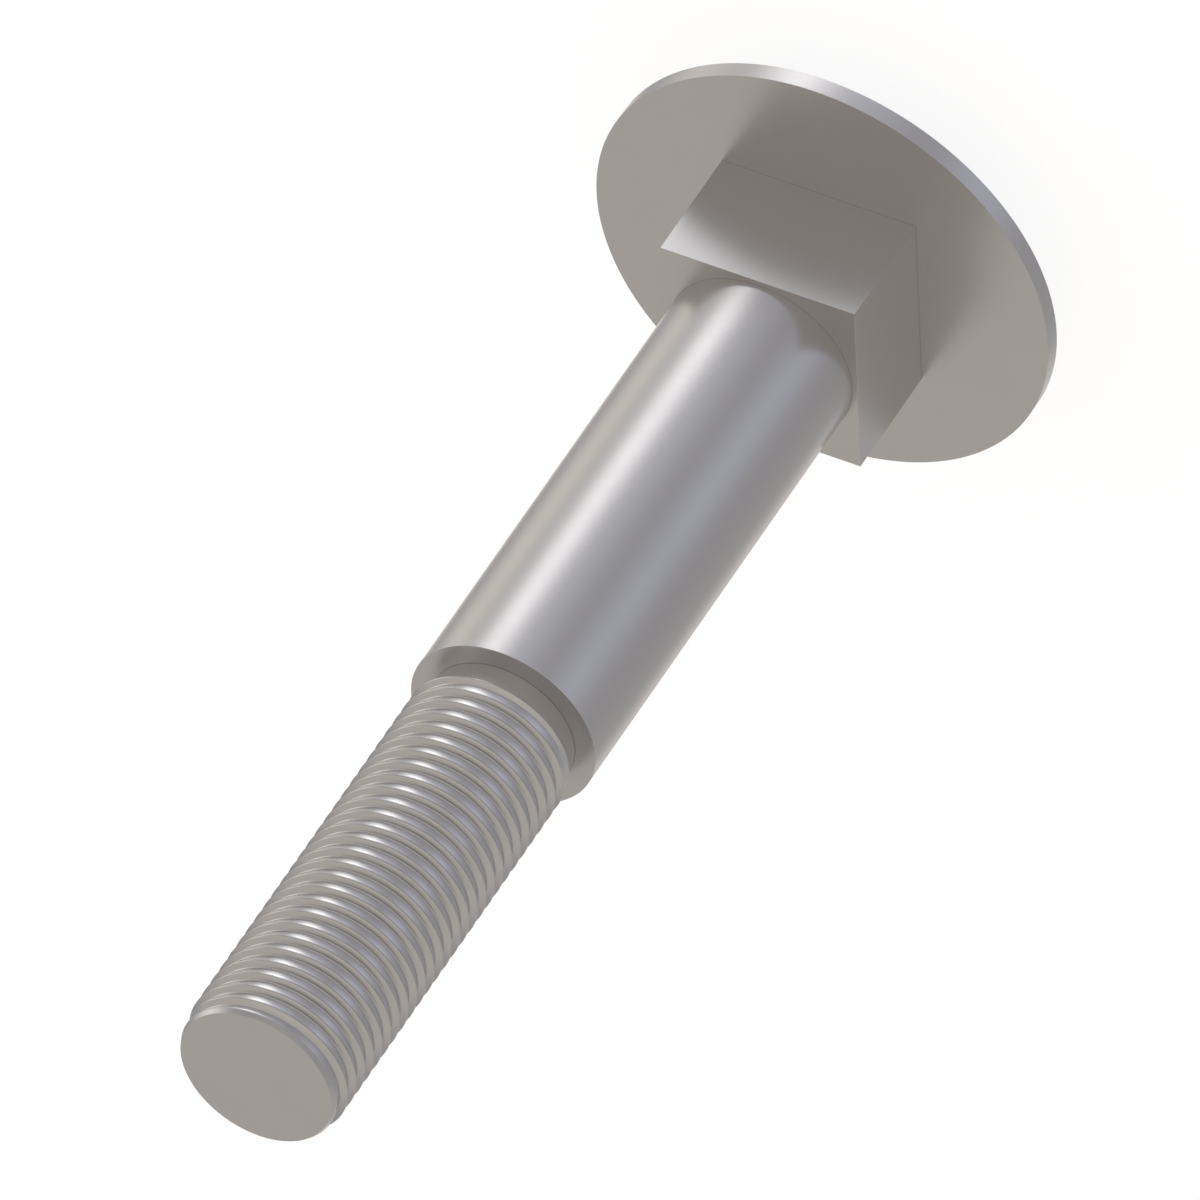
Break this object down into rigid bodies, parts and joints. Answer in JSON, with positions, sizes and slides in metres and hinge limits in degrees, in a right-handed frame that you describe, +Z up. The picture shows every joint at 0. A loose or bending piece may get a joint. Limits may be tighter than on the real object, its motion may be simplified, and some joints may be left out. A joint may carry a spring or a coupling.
{
  "type": "carriage bolt",
  "caption": "Carriage bolt with a low domed round head, a square neck, a plain shank and a thinner threaded end, standing on its head.",
  "frame": {"origin": "centre of the flat crown of the head, on the surface that the bolt stands on", "axes": "+Z up along the bolt's axis, from the head to the tip; the flats of the square neck face along X and Y"},
  "size_m": [0.0246, 0.0246, 0.065],
  "materials": {
    "steel": "bare satin steel, finely grained on the shank"
  },
  "bodies": {
    "root": {"carriage_bolt": "steel"}
  },
  "joints": []
}
